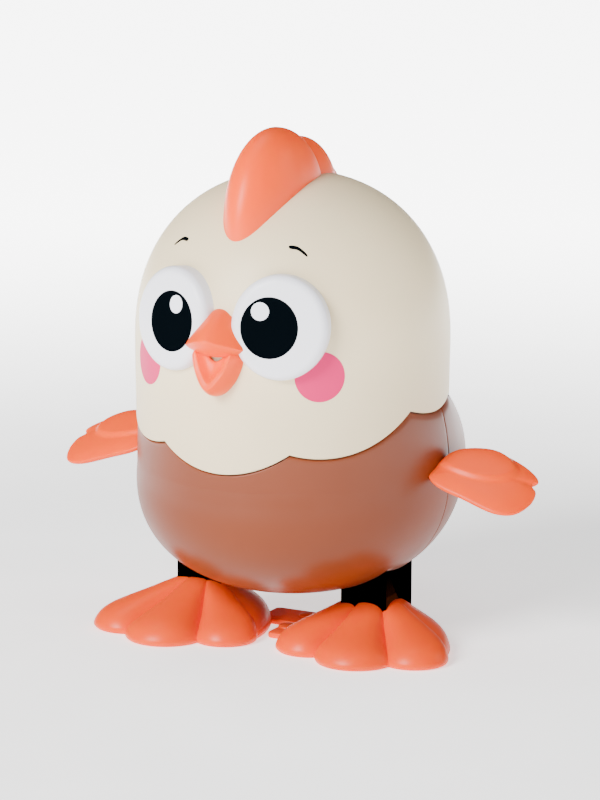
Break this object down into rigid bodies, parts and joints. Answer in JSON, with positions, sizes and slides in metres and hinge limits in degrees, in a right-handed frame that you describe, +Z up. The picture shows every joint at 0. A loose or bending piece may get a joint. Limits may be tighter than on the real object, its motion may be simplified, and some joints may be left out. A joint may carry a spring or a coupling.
{
  "type": "wind-up walking toy",
  "caption": "Wind-up walking chick in moulded plastic: scalloped head cap on an egg body, comb, paddle wings and cranked feet.",
  "frame": {"origin": "on the floor under the head's vertical axis", "axes": "+Z up, the chick faces -Y, its left side is +X"},
  "size_m": [0.1074, 0.0863, 0.1033],
  "materials": {
    "cream_plastic": "satin",
    "brown_plastic": "satin",
    "orange_plastic": "satin",
    "white_plastic": "gloss",
    "gear_plastic": "satin",
    "steel": "satin",
    "spring_steel": "satin"
  },
  "bodies": {
    "body": {"head_shell": "cream_plastic", "comb": "orange_plastic", "comb_screws": "steel", "eye_left": "white_plastic", "eye_right": "white_plastic", "beak": "orange_plastic", "body_front_shell": "brown_plastic", "body_rear_shell": "brown_plastic", "body_screws": "steel", "gearbox_plate_left": "gear_plastic", "gearbox_plate_right": "gear_plastic", "gearbox_screws": "steel", "spring_drum": "gear_plastic", "spring_cover": "gear_plastic", "mainspring": "spring_steel"},
    "winder": {"winding_arbor": "steel", "crown_gear": "gear_plastic", "winding_knob": "orange_plastic"},
    "intermediate": {"intermediate_gear": "gear_plastic", "intermediate_shaft": "steel"},
    "crankshaft": {"crank_shaft": "steel", "crank_pinion": "gear_plastic", "crank_gear": "gear_plastic", "crank_left": "gear_plastic", "crank_right": "gear_plastic"},
    "escapement": {"escape_wheel": "gear_plastic", "escape_shaft": "steel"},
    "pallet_rocker": {"pallet": "gear_plastic", "pallet_shaft": "steel"},
    "left_leg": {"leg_left": "orange_plastic", "foot_left": "orange_plastic", "sole_left": "orange_plastic", "foot_screw_left": "steel"},
    "right_leg": {"leg_right": "orange_plastic", "foot_right": "orange_plastic", "sole_right": "orange_plastic", "foot_screw_right": "steel"},
    "left_wing": {"wing_left": "orange_plastic"},
    "right_wing": {"wing_right": "orange_plastic"}
  },
  "joints": [
    {"name": "knob_turn", "type": "hinge", "parent": "body", "child": "winder", "pos_m": [0, 0.036, 0.031], "axis": [0, 1, 0], "continuous": true},
    {"name": "intermediate_turn", "type": "hinge", "parent": "body", "child": "intermediate", "pos_m": [0, 0.011, 0.031], "axis": [1, 0, 0], "continuous": true},
    {"name": "crank_turn", "type": "hinge", "parent": "body", "child": "crankshaft", "pos_m": [0, 0.001, 0.02238], "axis": [1, 0, 0], "continuous": true},
    {"name": "escape_turn", "type": "hinge", "parent": "body", "child": "escapement", "pos_m": [0, -0.007, 0.02871], "axis": [1, 0, 0], "continuous": true},
    {"name": "pallet_rock", "type": "hinge", "parent": "body", "child": "pallet_rocker", "pos_m": [-0.002, -0.007, 0.03491], "axis": [1, 0, 0], "range_deg": [-3, 3]},
    {"name": "left_step", "type": "hinge", "parent": "crankshaft", "child": "left_leg", "pos_m": [0.0166, 0.0021, 0.02238], "axis": [1, 0, 0], "continuous": true},
    {"name": "right_step", "type": "hinge", "parent": "crankshaft", "child": "right_leg", "pos_m": [-0.0166, -0.0001, 0.02238], "axis": [1, 0, 0], "continuous": true},
    {"name": "left_wing_turn", "type": "hinge", "parent": "body", "child": "left_wing", "pos_m": [0.03, 0.0044, 0.0364], "axis": [1, 0, 0], "range_deg": [-40, 40]},
    {"name": "right_wing_turn", "type": "hinge", "parent": "body", "child": "right_wing", "pos_m": [-0.03, 0.0044, 0.0364], "axis": [1, 0, 0], "range_deg": [-40, 40]}
  ],
  "couplings": [
    {"joint": "intermediate_turn", "follows": "knob_turn", "ratio": -2.4},
    {"joint": "crank_turn", "follows": "knob_turn", "ratio": 6.4},
    {"joint": "escape_turn", "follows": "knob_turn", "ratio": -15.36},
    {"joint": "left_step", "follows": "knob_turn", "ratio": -6.4},
    {"joint": "right_step", "follows": "knob_turn", "ratio": -6.4}
  ]
}
